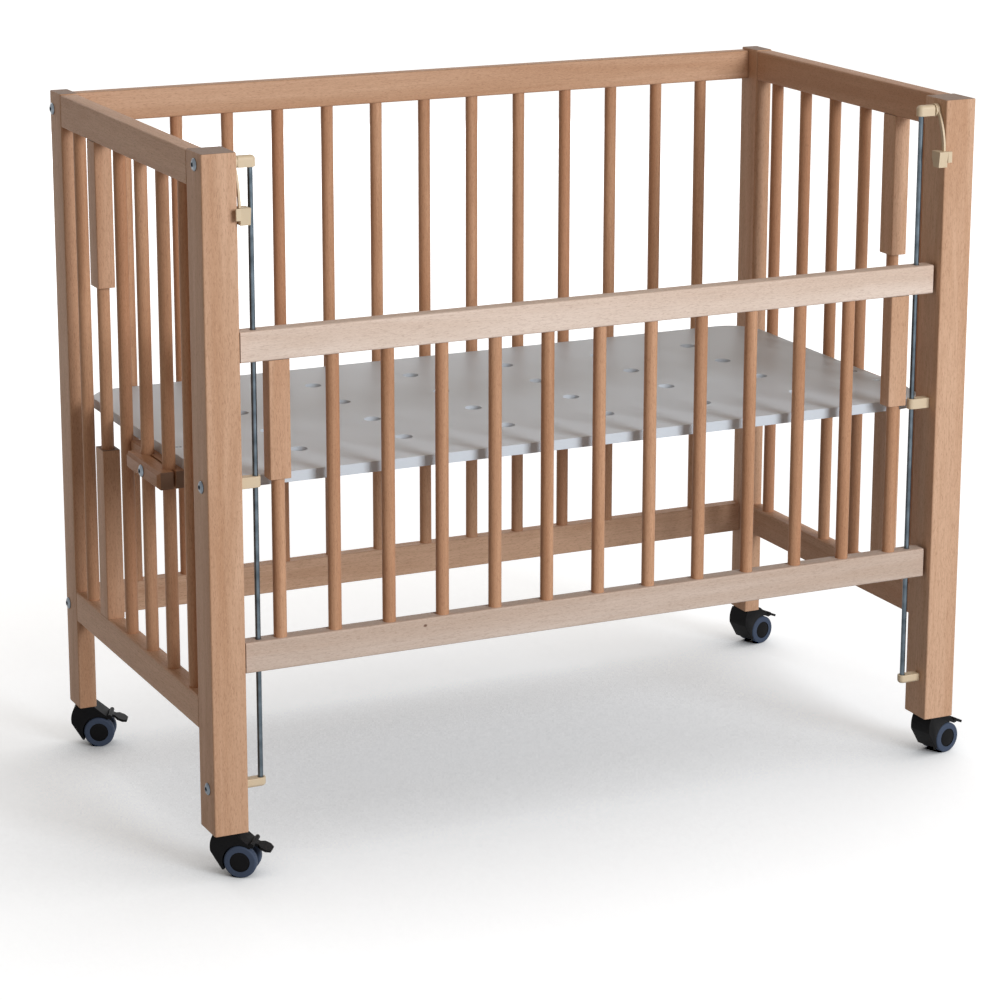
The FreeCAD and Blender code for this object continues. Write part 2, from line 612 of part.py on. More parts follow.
def drop_side_nodes():
    top_low = DROP_TOP - DROP_TOP_RAIL_HEIGHT
    bottom_high = DROP_BOTTOM + DROP_BOTTOM_RAIL_HEIGHT
    return {
        "drop_top_rail": drop_rail(top_low, DROP_TOP_RAIL_HEIGHT),
        "drop_bottom_rail": drop_rail(DROP_BOTTOM, DROP_BOTTOM_RAIL_HEIGHT),
        "drop_bars": bars([(x, DROP_Y) for x in LONG_BAR_XS], bottom_high, top_low),
        "drop_blocks": drop_blocks(),
    }


def moving_nodes():
    nodes = drop_side_nodes()
    nodes["latch_left"] = mirrored(latch())
    nodes["latch_right"] = latch()
    nodes["base_board"] = base_board()
    nodes["clamp_inner_jaws"] = inner_jaws()
    nodes["clamp_outer_jaws"] = outer_jaws()
    nodes["clamp_bolts"] = clamp_bolts()
    for name, (x, y) in CASTOR_SPOTS.items():
        nodes[f"castor_{name}_housing"] = swivelled(name, castor_housing(x, y))
        nodes[f"castor_{name}_wheels"] = swivelled(name, castor_wheels(x, y))
        nodes[f"castor_{name}_pedal"] = swivelled(name, castor_pedal(x, y))
    return nodes


def main():
    os.makedirs("parts", exist_ok=True)
    nodes = {**frame_nodes(), **moving_nodes()}
    middle = Part.makeCompound(list(nodes.values())).BoundBox.Center
    shift = at(-middle.x, -middle.y, 0)
    for name, shape in nodes.items():
        shape.translate(shift)
        if not shape.isValid():
            print("not valid:", name)
        shape.exportStep(f"parts/{name}.step")
    print("shift", shift.x, shift.y)
    spots = {"latch": at(0, DROP_Y, NECK_Z), "board middle": at(0, (BOARD_FRONT + BOARD_BACK) / 2, BOARD_TOP)}
    for name, (x, y) in CASTOR_SPOTS.items():
        spots[f"{name} swivel"] = at(x, y, CASTOR_HEIGHT)
        spots[f"{name} axle"] = swivelled(name, axle_middle(x, y))
        spots[f"{name} pedal"] = swivelled(name, pedal_pivot(x, y))
    for name, spot in spots.items():
        place = spot + shift
        print(name, round(place.x, 4), round(place.y, 4), round(place.z, 4))


main()
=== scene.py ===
"""The look of the bedside sleeper crib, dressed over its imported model.

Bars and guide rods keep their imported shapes. Posts, rails, blocks, jaws, board, mouldings and
castor bodies are shown with eased edges in place of their nodes. Screw heads and castor wheels
are turned anew, and the board gets its flat screws. All lengths are in metres.
"""

import json
import math

import bmesh
import bpy
from mathutils import Matrix, Vector


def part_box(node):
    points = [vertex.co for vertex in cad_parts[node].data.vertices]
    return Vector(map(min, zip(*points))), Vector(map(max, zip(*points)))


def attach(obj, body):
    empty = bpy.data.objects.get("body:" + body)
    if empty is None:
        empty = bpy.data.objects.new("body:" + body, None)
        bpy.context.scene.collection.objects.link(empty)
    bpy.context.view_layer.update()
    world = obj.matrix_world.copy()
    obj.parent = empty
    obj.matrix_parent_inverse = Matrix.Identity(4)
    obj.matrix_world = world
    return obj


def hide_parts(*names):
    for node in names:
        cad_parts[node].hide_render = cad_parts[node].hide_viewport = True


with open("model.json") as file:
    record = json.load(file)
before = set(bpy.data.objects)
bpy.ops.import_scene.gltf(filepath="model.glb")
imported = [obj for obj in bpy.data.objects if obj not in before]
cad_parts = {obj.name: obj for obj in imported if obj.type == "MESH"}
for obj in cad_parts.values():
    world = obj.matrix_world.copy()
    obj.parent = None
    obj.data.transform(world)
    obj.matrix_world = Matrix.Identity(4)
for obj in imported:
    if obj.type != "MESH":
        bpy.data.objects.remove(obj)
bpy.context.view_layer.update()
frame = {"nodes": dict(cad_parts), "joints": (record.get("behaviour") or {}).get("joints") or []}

MM = 0.001

# ---------------------------------------------------------------- the photograph's camera
CAMERA_FROM_CORNER = Vector((-1.1431, -3.1447, 1.3639))  # from the front left post's outer corner
CAMERA_YAW = 0.44231  # to the right of +Y
CAMERA_PITCH = 0.25221  # below the horizon
CAMERA_ROLL = 0.0018
CAMERA_SHIFT = -0.06  # the photograph's upright posts stay almost parallel
FOCAL_SHARE = 3.22519  # focal length over the picture's width
SENSOR = 36.0  # millimetres
CAMERA_REACH = 30.0

# ---------------------------------------------------------------- colours
BEECH_LIGHT = (0.67, 0.430, 0.290)
BEECH_DARK = (0.52, 0.297, 0.178)
BEECH_RED = (0.53, 0.265, 0.150)
BEECH_FLECK = (0.26, 0.110, 0.052)
BEECH_KNOT = (0.10, 0.035, 0.015)
PALE_LIGHT = (0.80, 0.67, 0.585)  # the drop side's rails are cut from paler wood
PALE_DARK = (0.68, 0.535, 0.44)
ROUND_LIGHT = (0.60, 0.345, 0.210)  # the turned bars are a little redder
ROUND_DARK = (0.43, 0.215, 0.115)
JAW_LIGHT = (0.50, 0.27, 0.15)  # the clamps' jaws are a browner wood
JAW_DARK = (0.36, 0.17, 0.085)
END_GRAIN = (0.21, 0.135, 0.095)
BOARD_WHITE = (0.63, 0.69, 0.76)
ZINC = (0.23, 0.265, 0.30)
ZINC_DARK = (0.09, 0.108, 0.13)
ROD_ZINC = (0.135, 0.170, 0.200)
ROD_ZINC_DARK = (0.055, 0.073, 0.088)
BEIGE = (0.70, 0.57, 0.40)
CASTOR_BLACK = (0.004, 0.004, 0.0045)
TYRE_SLATE = (0.050, 0.068, 0.110)
# Painted shade: near-black for the inside of screw recesses and wells, where the zinc lies in
# shade
RECESS_PAINTED_SHADE = (0.015, 0.020, 0.030)
WHITE = (1.0, 1.0, 1.0)
BRIGHTEST = 0.95  # no wood colour goes above this


# ---------------------------------------------------------------- shader expressions
class Wire:
    """A socket of a node tree that can be used in arithmetic."""

    def __init__(self, graph, socket):
        self.graph = graph
        self.socket = socket

    def _maths(self, operation, left, right):
        return self.graph.node("ShaderNodeMath", {"operation": operation}, {0: left, 1: right})[0]

    def __add__(self, other):
        return self._maths("ADD", self, other)

    __radd__ = __add__

    def __sub__(self, other):
        return self._maths("SUBTRACT", self, other)

    def __rsub__(self, other):
        return self._maths("SUBTRACT", other, self)

    def __mul__(self, other):
        return self._maths("MULTIPLY", self, other)

    __rmul__ = __mul__

    def __gt__(self, other):
        return self._maths("GREATER_THAN", self, other)

    def clipped(self):
        """Held between 0 and 1."""
        return self._maths("MINIMUM", self._maths("MAXIMUM", self, 0.0), 1.0)


class Tree:
    """A node tree to which nodes are added."""

    def __init__(self, tree):
        self.tree = tree

    def node(self, kind, settings=None, values=None):
        """A node of a type: its settings first, then the values or wires of its inputs."""
        made = self.tree.nodes.new(kind)
        for key, value in (settings or {}).items():
            setattr(made, key, value)
        for key, value in (values or {}).items():
            self.feed(made.inputs[key], value)
        return [Wire(self, socket) for socket in made.outputs]

    def feed(self, socket, value):
        """Link a wire to a socket, or set its value."""
        if isinstance(value, Wire):
            self.tree.links.new(value.socket, socket)
        elif isinstance(value, tuple) and len(value) == 3 and socket.type == "RGBA":
            socket.default_value = (*value, 1.0)
        else:
            socket.default_value = value

    def place(self):
        """Object coordinates: metres in the crib's own frame."""
        return self.node("ShaderNodeTexCoord")[3]

    def facing(self):
        """The way the surface looks, in the same frame."""
        return self.node("ShaderNodeTexCoord")[1]

    def drawn_out(self, place, along, share, shift=(0.0, 0.0, 0.0)):
        """Coordinates that draw a pattern out along one axis."""
        scale = tuple(share if axis == along else 1.0 for axis in "XYZ")
        return self.node("ShaderNodeMapping", {}, {
            "Vector": place, "Scale": scale, "Location": shift})[0]

    def noise(self, place, scale, detail, roughness, distortion=0.0):
        return self.node("ShaderNodeTexNoise", {}, {
            "Vector": place, "Scale": scale, "Detail": detail, "Roughness": roughness,
            "Distortion": distortion})[0]

    def step(self, factor, low, high):
        """0 below low, 1 above high, with a straight slope between."""
        return self.node("ShaderNodeMapRange", {}, {
            "Value": factor, "From Min": low, "From Max": high})[0]

    def mix(self, factor, first, second):
        """The first colour where factor is 0, the second where it is 1."""
        sockets = self.node("ShaderNodeMix", {"data_type": "RGBA"}, {
            0: factor, 6: first, 7: second})
        return sockets[2]

    def bump(self, height, strength, distance):
        return self.node("ShaderNodeBump", {}, {
            "Height": height, "Strength": strength, "Distance": distance})[0]


class Finish(Tree):
    """One material's node tree, with its shader's sockets at hand."""

    def __init__(self, name, **constants):
        self.material = bpy.data.materials.new(name)
        self.material.use_nodes = True
        super().__init__(self.material.node_tree)
        self.shader = self.tree.nodes["Principled BSDF"]
        for socket, value in constants.items():
            self.shader.inputs[socket.replace("_", " ")].default_value = value

    def set(self, socket, value):
        self.feed(self.shader.inputs[socket], value)


def shaded(colour, tone):
    return tuple(min(tone * part, BRIGHTEST) for part in colour)


# ---------------------------------------------------------------- wood
# Each noise is (scale, detail, roughness) and, where it is bent, its distortion.
FIGURE_NOISE = (30.0, 3.0, 0.55, 1.1)  # the broad waves of the grain
FINE_NOISE = (520.0, 3.0, 0.6)
FLECK_NOISE = (1600.0, 1.0, 0.4, 0.6)
PORE_NOISE = (2300.0, 1.0, 0.5)
KNOT_CELLS = 22.0
# How far each pattern is drawn out along the grain: the smaller, the longer.
FIGURE_DRAWN, FLECKS_DRAWN, STAVES_DRAWN, KNOTS_DRAWN = 0.055, 0.13, 0.002, 0.7
# Between which noise values each pattern comes in.
FIGURE_RANGE = (0.34, 0.68)
FINE_RANGE = (0.42, 0.80)
FLECK_RANGE = (0.57, 0.67)
PORE_RANGE = (0.56, 0.66)
STAVE_RANGE = (0.50, 0.66)
KNOT_RANGE = (0.020, 0.045)
KNOT_CHANCE = (0.90, 0.91)
# How strongly each pattern shows.
STAVE_PULL, FINE_SHOWN, PORES_SHOWN, KNOTS_SHOWN, ENDS_SHOWN = 0.8, 0.5, 0.22, 0.85, 0.85
FINE_TONE, PORE_TONE = 0.85, 1.18
ENDS_FACE = 0.7  # square of the share of a face's direction that lies along the grain
SEED_STEP = 0.37  # so that no two pieces show the same grain

BEECH = {"light": BEECH_LIGHT, "dark": BEECH_DARK, "tone": 1.0, "flecks": 0.36,
         "redness": 0.35, "stave_scale": 17.0}
PALE_BEECH = {**BEECH, "light": PALE_LIGHT, "dark": PALE_DARK, "flecks": 0.24, "redness": 0.1}
LOW_PALE_BEECH = {**PALE_BEECH, "tone": 0.84}
ROUND_BEECH = {**BEECH, "light": ROUND_LIGHT, "dark": ROUND_DARK, "redness": 0.7,
               "stave_scale": 29.0}
JAW_BEECH = {**BEECH, "light": JAW_LIGHT, "dark": JAW_DARK}


def beech(name, along, seed, wood):
    """Natural beech: fine grain along one axis, short flecks, pin knots and dark end grain."""
    tone = wood["tone"]
    light, dark = shaded(wood["light"], tone), shaded(wood["dark"], tone)
    g = Finish(name, Specular_IOR_Level=0.22)
    place = g.place()
    grain_place = g.drawn_out(place, along, FIGURE_DRAWN, (seed, seed * 0.7, seed * 1.3))
    fleck_place = g.drawn_out(place, along, FLECKS_DRAWN, (seed * 2.0, seed, seed))
    stave_place = g.drawn_out(place, along, STAVES_DRAWN, (seed, seed, seed))
    figure = g.noise(grain_place, *FIGURE_NOISE)
    fine = g.noise(grain_place, *FINE_NOISE)
    flecks = g.noise(fleck_place, *FLECK_NOISE)
    pores = g.noise(fleck_place, *PORE_NOISE)
    stave = g.noise(stave_place, wood["stave_scale"], 1.0, 0.5)
    colour = g.mix(g.step(figure + STAVE_PULL * (stave - 0.5), *FIGURE_RANGE), light, dark)
    colour = g.mix(g.step(stave, *STAVE_RANGE) * wood["redness"], colour, shaded(BEECH_RED, tone))
    colour = g.mix(g.step(fine, *FINE_RANGE) * FINE_SHOWN, colour,
                   shaded(wood["dark"], FINE_TONE * tone))
    colour = g.mix(g.step(pores, *PORE_RANGE) * PORES_SHOWN, colour,
                   shaded(wood["light"], PORE_TONE * tone))
    colour = g.mix(g.step(flecks, *FLECK_RANGE) * wood["flecks"], colour,
                   shaded(BEECH_FLECK, tone))
    colour = g.mix(pin_knots(g, place, along, seed) * KNOTS_SHOWN, colour, BEECH_KNOT)
    colour = g.mix(end_mask(g, along) * ENDS_SHOWN, colour, END_GRAIN)
    g.set("Base Color", colour)
    g.set("Roughness", 0.42 + 0.16 * fine)
    g.set("Normal", g.bump(fine + 0.6 * flecks, 0.22, 0.5 * MM))
    return g.material


def pin_knots(g, place, along, seed):
    """A few tiny dark knots, each a little longer along the grain."""
    knot_place = g.drawn_out(place, along, KNOTS_DRAWN, (seed * 3.0, seed * 5.0, seed))
    cell = g.node("ShaderNodeTexVoronoi", {"feature": "F1"}, {
        "Vector": knot_place, "Scale": KNOT_CELLS})
    chance = g.node("ShaderNodeSeparateColor", {}, {0: cell[1]})[0]
    return (1.0 - g.step(cell[0], *KNOT_RANGE)) * g.step(chance, *KNOT_CHANCE)


def end_mask(g, along):
    """1 on faces that look along the grain, 0 on the others."""
    parts = g.node("ShaderNodeSeparateXYZ", {}, {0: g.facing()})
    facing = parts["XYZ".index(along)]
    return facing * facing > ENDS_FACE


# ---------------------------------------------------------------- board, metal and mouldings
def board_white():
    g = Finish("white_board", Specular_IOR_Level=0.45)
    mottle = g.noise(g.place(), 14.0, 3.0, 0.5)
    speck = g.noise(g.place(), 900.0, 2.0, 0.5)
    g.set("Base Color", g.mix(mottle * 0.25, BOARD_WHITE, shaded(BOARD_WHITE, 0.93)))
    g.set("Roughness", 0.38 + 0.10 * mottle)
    g.set("Normal", g.bump(speck, 0.05, 0.2 * MM))
    return g.material


def zinc(name, along, bright, dull):
    """Zinc plating with faint drawing lines along the piece."""
    g = Finish(name, Metallic=0.9)
    lines = g.noise(g.drawn_out(g.place(), along, 0.02), 1400.0, 2.0, 0.5)
    cloud = g.noise(g.place(), 60.0, 2.0, 0.5)
    g.set("Base Color", g.mix(g.step(cloud, 0.35, 0.75), bright, dull))
    g.set("Roughness", 0.22 + 0.16 * lines)
    g.set("Normal", g.bump(lines, 0.06, 0.1 * MM))
    return g.material


def moulded(name, specular, colour, shade, cloud_noise, cloud_shown, grit_noise, roughness,
            bump_strength):
    """Plastic or rubber: a faint cloud of a second shade, and grit in gloss and surface."""
    g = Finish(name, Specular_IOR_Level=specular)
    cloud = g.noise(g.place(), *cloud_noise)
    grit = g.noise(g.place(), *grit_noise)
    g.set("Base Color", g.mix(cloud * cloud_shown, colour, shaded(colour, shade)))
    g.set("Roughness", roughness[0] + roughness[1] * grit)
    if bump_strength:
        g.set("Normal", g.bump(grit, bump_strength, 0.2 * MM))
    return g.material


def beige_plastic():
    return moulded("beige_plastic", specular=0.4, colour=BEIGE, shade=0.88,
                   cloud_noise=(70.0, 2.0, 0.5), cloud_shown=0.35,
                   grit_noise=(1800.0, 2.0, 0.5), roughness=(0.42, 0.12), bump_strength=0.05)


def black_plastic():
    return moulded("black_plastic", specular=0.08, colour=CASTOR_BLACK, shade=1.9,
                   cloud_noise=(120.0, 3.0, 0.6), cloud_shown=1.0,
                   grit_noise=(2600.0, 2.0, 0.5), roughness=(0.36, 0.14), bump_strength=0.08)


def tyre_rubber():
    return moulded("tyre_rubber", specular=0.15, colour=TYRE_SLATE, shade=1.5,
                   cloud_noise=(160.0, 3.0, 0.6), cloud_shown=0.5,
                   grit_noise=(3000.0, 2.0, 0.5), roughness=(0.5, 0.16), bump_strength=0.08)


# Painted shade: the walls and floors of the screw recesses and the board screws' wells are drawn
# near-black in place of shaded zinc
def recess_painted_shade():
    return moulded("screw_recess_painted_shade", specular=0.2, colour=RECESS_PAINTED_SHADE, shade=2.0,
                   cloud_noise=(2000.0, 2.0, 0.5), cloud_shown=0.5,
                   grit_noise=(2000.0, 2.0, 0.5), roughness=(0.55, 0.1), bump_strength=0.0)


# ---------------------------------------------------------------- mesh helpers
WELD = 0.002 * MM  # vertices closer than this are one
FLAT = math.radians(0.5)  # faces that meet flatter than this are one
SHARP = math.radians(40)  # edges sharper than this are eased
EASED_STEPS = 2
POINT = 1e-7  # a turned profile's radius below this is a point on the axis
UP, ACROSS = Vector((0, 0, 1)), Vector((1, 0, 0))


def piece(name, mesh, body, slot, *materials):
    """An object of the crib that rides on one of its bodies."""
    made = bpy.data.objects.new(name, mesh)
    bpy.context.collection.objects.link(made)
    for material in materials:
        mesh.materials.append(material)
    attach(made, body)
    return made


def turned(name, profile, axis, middle, segments, colours):
    """A mesh turned about an axis from (offset along it, radius) points.

    colours gives each profile stretch its material's index.
    """
    mesh = bpy.data.meshes.new(name)
    side = UP if abs(axis.z) < 0.5 else ACROSS
    other = axis.cross(side)
    bm = bmesh.new()
    rings = []
    for offset, radius in profile:
        if radius < POINT:
            rings.append([bm.verts.new(middle + axis * offset)])
            continue
        ring = []
        for k in range(segments):
            turn = 2 * math.pi * k / segments
            outward = side * math.cos(turn) + other * math.sin(turn)
            ring.append(bm.verts.new(middle + axis * offset + outward * radius))
        rings.append(ring)
    for index, (near, far) in enumerate(zip(rings, rings[1:])):
        for k in range(segments):
            after = (k + 1) % segments
            corners = [near[k % len(near)], near[after % len(near)],
                       far[after % len(far)], far[k % len(far)]]
            face = bm.faces.new(list(dict.fromkeys(corners)))
            face.smooth = True
            face.material_index = colours[index]
    bmesh.ops.recalc_face_normals(bm, faces=bm.faces)
    bm.to_mesh(mesh)
    bm.free()
    return mesh


def joined(name, meshes):
    """Several meshes as one."""
    whole = bpy.data.meshes.new(name)
    bm = bmesh.new()
    for mesh in meshes:
        bm.from_mesh(mesh)
    bm.to_mesh(whole)
    bm.free()
    return whole


def smooth_but_sharp(mesh):
    """Smooth shading that keeps the sharp edges."""
    mesh.shade_smooth()
    mesh.set_sharp_from_angle(angle=SHARP)


def eased(node, body, width, slot, material):
    """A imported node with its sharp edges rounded, in place of the node."""
    mesh = frame["nodes"][node].data.copy()
    bm = bmesh.new()
    bm.from_mesh(mesh)
    bmesh.ops.remove_doubles(bm, verts=bm.verts, dist=WELD)
    bmesh.ops.dissolve_limit(bm, angle_limit=FLAT, verts=bm.verts, edges=bm.edges,
                             delimit={"NORMAL"})
    bm.to_mesh(mesh)
    bm.free()
    mesh.materials.clear()
    made = piece(f"{node}_eased", mesh, body, slot, material)
    bevel = made.modifiers.new("eased_edges", "BEVEL")
    bevel.width = width
    bevel.segments = EASED_STEPS
    bevel.limit_method = "ANGLE"
    bevel.angle_limit = SHARP
    bevel.harden_normals = True
    smooth_but_sharp(mesh)
    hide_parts(node)


def islands(node):
    """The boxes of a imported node's separate solids."""
    bm = bmesh.new()
    bm.from_mesh(frame["nodes"][node].data)
    bmesh.ops.remove_doubles(bm, verts=bm.verts, dist=WELD)
    seen = set()
    boxes = []
    for start in bm.verts:
        if start in seen:
            continue
        seen.add(start)
        waiting, found = [start], []
        while waiting:
            vert = waiting.pop()
            found.append(vert.co.copy())
            for edge in vert.link_edges:
                other = edge.other_vert(vert)
                if other not in seen:
                    seen.add(other)
                    waiting.append(other)
        low = Vector(min(v[k] for v in found) for k in range(3))
        high = Vector(max(v[k] for v in found) for k in range(3))
        boxes.append((low, high))
    bm.free()
    return boxes


# ---------------------------------------------------------------- screws
HEAD_RADIUS = 7.0 * MM
HEAD_RISE = 3.0 * MM
HEAD_RIM = 0.5 * MM  # the head's straight edge, below its dome
HEAD_RINGS = 6
HEAD_RING_TURN = 12  # degrees of the dome from ring to ring
HEAD_SEGMENTS = 48
RECESS_RADIUS = 3.0 * MM  # half the driver recess across its corners
RECESS_MOUTH = RECESS_RADIUS + 0.1 * MM
RECESS_CHAMFER = 0.3 * MM
RECESS_DEPTH = 1.8 * MM
RECESS_TAPER = 0.95
RECESS_SIDES = 6
SHANK_RADIUS = 3.0 * MM
SCREW_SEGMENTS = 32


def domed_head(name, seat, outward):
    """A domed screw head with a six-sided recess, standing on seat."""
    profile = [(0.0, 0.0), (0.0, HEAD_RADIUS), (HEAD_RIM, HEAD_RADIUS)]
    for k in range(1, HEAD_RINGS + 1):
        turn = math.radians(HEAD_RING_TURN * k)
        profile.append((HEAD_RIM + (HEAD_RISE - HEAD_RIM) * math.sin(turn),
                        HEAD_RADIUS * math.cos(turn)))
    profile.append((HEAD_RISE, RECESS_MOUTH))
    dome = turned(f"{name}_dome", profile, outward, seat, HEAD_SEGMENTS, [0] * (len(profile) - 1))
    floor = HEAD_RISE - RECESS_DEPTH
    well = [(HEAD_RISE, RECESS_MOUTH), (HEAD_RISE - RECESS_CHAMFER, RECESS_RADIUS),
            (floor, RECESS_RADIUS * RECESS_TAPER), (floor, 0.0)]
    # The recess's wall and floor take the second material, which is painted shade
    recess = turned(f"{name}_recess", well, outward, seat, RECESS_SIDES, [0, 1, 1])
    for face in recess.polygons:
        face.use_smooth = False
    return [dome, recess]


def head_pieces(node, body, metal, dark):
    """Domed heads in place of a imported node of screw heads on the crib's two ends."""
    meshes = []
    low_x, high_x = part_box(node)[0].x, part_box(node)[1].x
    middle_x = (low_x + high_x) / 2
    for index, (low, high) in enumerate(islands(node)):
        side = 1 if high.x > middle_x else -1
        outward = Vector((side, 0, 0))
        outer, inner = (high.x, low.x) if side > 0 else (low.x, high.x)
        seat = Vector((outer - side * HEAD_RISE, (low.y + high.y) / 2, (low.z + high.z) / 2))
        meshes += domed_head(f"{node}_{index}", seat, outward)
        if high.x - low.x > 2 * HEAD_RISE:  # this bolt has its shank
            end = -abs(outer - inner) + HEAD_RISE
            shank = [(end, 0.0), (end, SHANK_RADIUS), (0.0, SHANK_RADIUS)]
            meshes.append(turned(f"{node}_{index}_shank", shank, outward, seat,
                                 SCREW_SEGMENTS, [0, 0]))
    # The second material, dark, is the painted shade inside the recesses
    made = piece(f"{node}_domed", joined(f"{node}_domed", meshes), body, "zinc_steel", metal, dark)
    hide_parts(node)


BOARD_SCREW_IN = 13.5 * MM  # from the board's ends
BOARD_SCREW_BACK = 152.0 * MM  # from the board's front edge to the further screw
BOARD_SCREW_APART = 52.0 * MM
BOARD_SCREW_PROFILE = ((-2.0 * MM, 0.0), (-2.0 * MM, 2.0 * MM), (0.0, 4.0 * MM),
                       (0.05 * MM, 3.6 * MM), (0.05 * MM, 1.7 * MM))
BOARD_SCREW_WELL = ((0.05 * MM, 1.7 * MM), (-1.2 * MM, 1.5 * MM), (-1.2 * MM, 0.0))


def board_screws(metal, dark):
    """Flat heads, sunk level with the board's top, that hold the clamps' inner jaws."""
    low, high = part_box("base_board")
    far = low.y + BOARD_SCREW_BACK
    meshes = []
    for index, x in enumerate((low.x + BOARD_SCREW_IN, high.x - BOARD_SCREW_IN)):
        for row, y in enumerate((far - BOARD_SCREW_APART, far)):
            seat = Vector((x, y, high.z))
            meshes.append(turned(f"board_screw_{index}_{row}", BOARD_SCREW_PROFILE, UP, seat,
                                 SCREW_SEGMENTS, [0] * 4))
            # The well takes the second material, which is painted shade
            meshes.append(turned(f"board_screw_well_{index}_{row}", BOARD_SCREW_WELL, UP, seat,
                                 RECESS_SIDES, [1, 1]))
    piece("board_screws", joined("board_screws", meshes), "base", "zinc_steel", metal, dark)


# ---------------------------------------------------------------- castor wheels
WHEEL_GAP = 10.4 * MM  # between a castor's two wheels
WHEEL_WIDTH = 10.0 * MM
WHEEL_SEGMENTS = 72
TREAD_EDGE = 2.2 * MM  # radius of the tread's round corners
CORNER_STEPS = 5
HUB_SHARE = 0.58  # hub's rim over the wheel's radius
HUB_DOME = 1.0 * MM
HUB_FALL = 0.45  # how much of the dome falls away towards the rim
HUB_RINGS = (0.8, 0.6, 0.4, 0.2)
HUB_SPREAD = 0.9
GROOVE_DEPTH = 0.9 * MM  # between tyre and hub
AXLE_RADIUS = 2.5 * MM


def roll_axis(corner):
    """The middle of a castor's axle and the way it points."""
    roll = next(joint for joint in frame["joints"] if joint["name"] == f"roll_{corner}")
    return Vector(roll["pos_m"]), Vector(roll["axis"]).normalized()


def tread_corner(offset, radius, start, end):
    """A quarter round between a wheel's tread and its side, from angle to angle in degrees."""
    points = []
    for k in range(CORNER_STEPS + 1):
        turn = math.radians(start + (end - start) * k / CORNER_STEPS)
        points.append((offset + TREAD_EDGE * math.cos(turn),
                       radius + TREAD_EDGE * math.sin(turn)))
    return points


def wheel_profile(radius):
    """A wheel's outline from its inner face over the tread to the hub, and each stretch's
    material."""
    inner = WHEEL_GAP / 2
    outer = inner + WHEEL_WIDTH
    hub = radius * HUB_SHARE
    tyre = [(inner, 0.0), (inner, radius - TREAD_EDGE)]
    tyre += tread_corner(inner + TREAD_EDGE, radius - TREAD_EDGE, 180, 90)
    tyre += tread_corner(outer - TREAD_EDGE, radius - TREAD_EDGE, 90, 0)
    tyre.append((outer - 0.1 * MM, hub + 0.6 * MM))
    cap = [(outer - GROOVE_DEPTH, hub + 0.2 * MM), (outer - GROOVE_DEPTH, hub),
           (outer - 0.45 * MM, hub - 0.8 * MM)]
    cap += [(outer - HUB_DOME * (r * r) * HUB_FALL, hub * r * HUB_SPREAD) for r in HUB_RINGS]
    cap.append((outer - 0.02 * MM, 0.0))
    return tyre + cap, [0] * (len(tyre) - 1) + [1] * len(cap)


def castor_wheels(corner, black, tyre):
    """Two wheels: a rounded tread, a groove and a domed black hub."""
    middle, axis = roll_axis(corner)
    profile, colours = wheel_profile(middle.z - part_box(f"castor_{corner}_wheels")[0].z)
    meshes = [turned(f"wheel_{corner}_{hand}", profile, axis * hand, middle, WHEEL_SEGMENTS,
                     colours) for hand in (-1, 1)]
    axle = [(-WHEEL_GAP / 2, AXLE_RADIUS), (WHEEL_GAP / 2, AXLE_RADIUS)]
    meshes.append(turned(f"axle_{corner}", axle, axis, middle, SCREW_SEGMENTS, [1]))
    whole = joined(f"castor_wheels_{corner}", meshes)
    smooth_but_sharp(whole)
    made = piece(f"rolling_pair_{corner}", whole, f"wheels_{corner}", "tyre_rubber", tyre, black)
    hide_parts(f"castor_{corner}_wheels")


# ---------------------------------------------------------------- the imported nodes' finishes
WOODEN = {  # node: the axis its grain runs along, its wood and its body
    "post_front_left": ("Z", BEECH, "frame"),
    "post_front_right": ("Z", BEECH, "frame"),
    "post_back_left": ("Z", BEECH, "frame"),
    "post_back_right": ("Z", BEECH, "frame"),
    "end_left_top_rail": ("Y", BEECH, "frame"),
    "end_right_top_rail": ("Y", BEECH, "frame"),
    "end_left_bottom_rail": ("Y", BEECH, "frame"),
    "end_right_bottom_rail": ("Y", BEECH, "frame"),
    "end_left_bars": ("Z", ROUND_BEECH, "frame"),
    "end_right_bars": ("Z", ROUND_BEECH, "frame"),
    "back_bars": ("Z", ROUND_BEECH, "frame"),
    "drop_bars": ("Z", ROUND_BEECH, "drop_side"),
    "end_left_stop_blocks": ("Z", BEECH, "frame"),
    "end_right_stop_blocks": ("Z", BEECH, "frame"),
    "drop_blocks": ("Z", BEECH, "drop_side"),
    "back_top_rail": ("X", BEECH, "frame"),
    "back_bottom_rail": ("X", BEECH, "frame"),
    "drop_top_rail": ("X", PALE_BEECH, "drop_side"),
    "drop_bottom_rail": ("X", LOW_PALE_BEECH, "drop_side"),
    "clamp_inner_jaws": ("Y", JAW_BEECH, "base"),
    "clamp_outer_jaws": ("Y", JAW_BEECH, "base"),
}
BEIGE_MOULDINGS = {  # node: its body
    "rod_brackets_top": "frame", "rod_brackets_middle": "frame", "rod_brackets_bottom": "frame",
    "latch_left": "latch_left", "latch_right": "latch_right",
}
CORNERS = ("front_left", "front_right", "back_left", "back_right")
EASED_WOOD = 1.0 * MM
EASED_BOARD = 0.8 * MM
EASED_BEIGE = 0.9 * MM
EASED_CASTOR = 1.0 * MM


def dress(node, material):
    """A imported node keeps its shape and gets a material."""
    shown = frame["nodes"][node]
    shown.data.materials.clear()
    shown.data.materials.append(material)


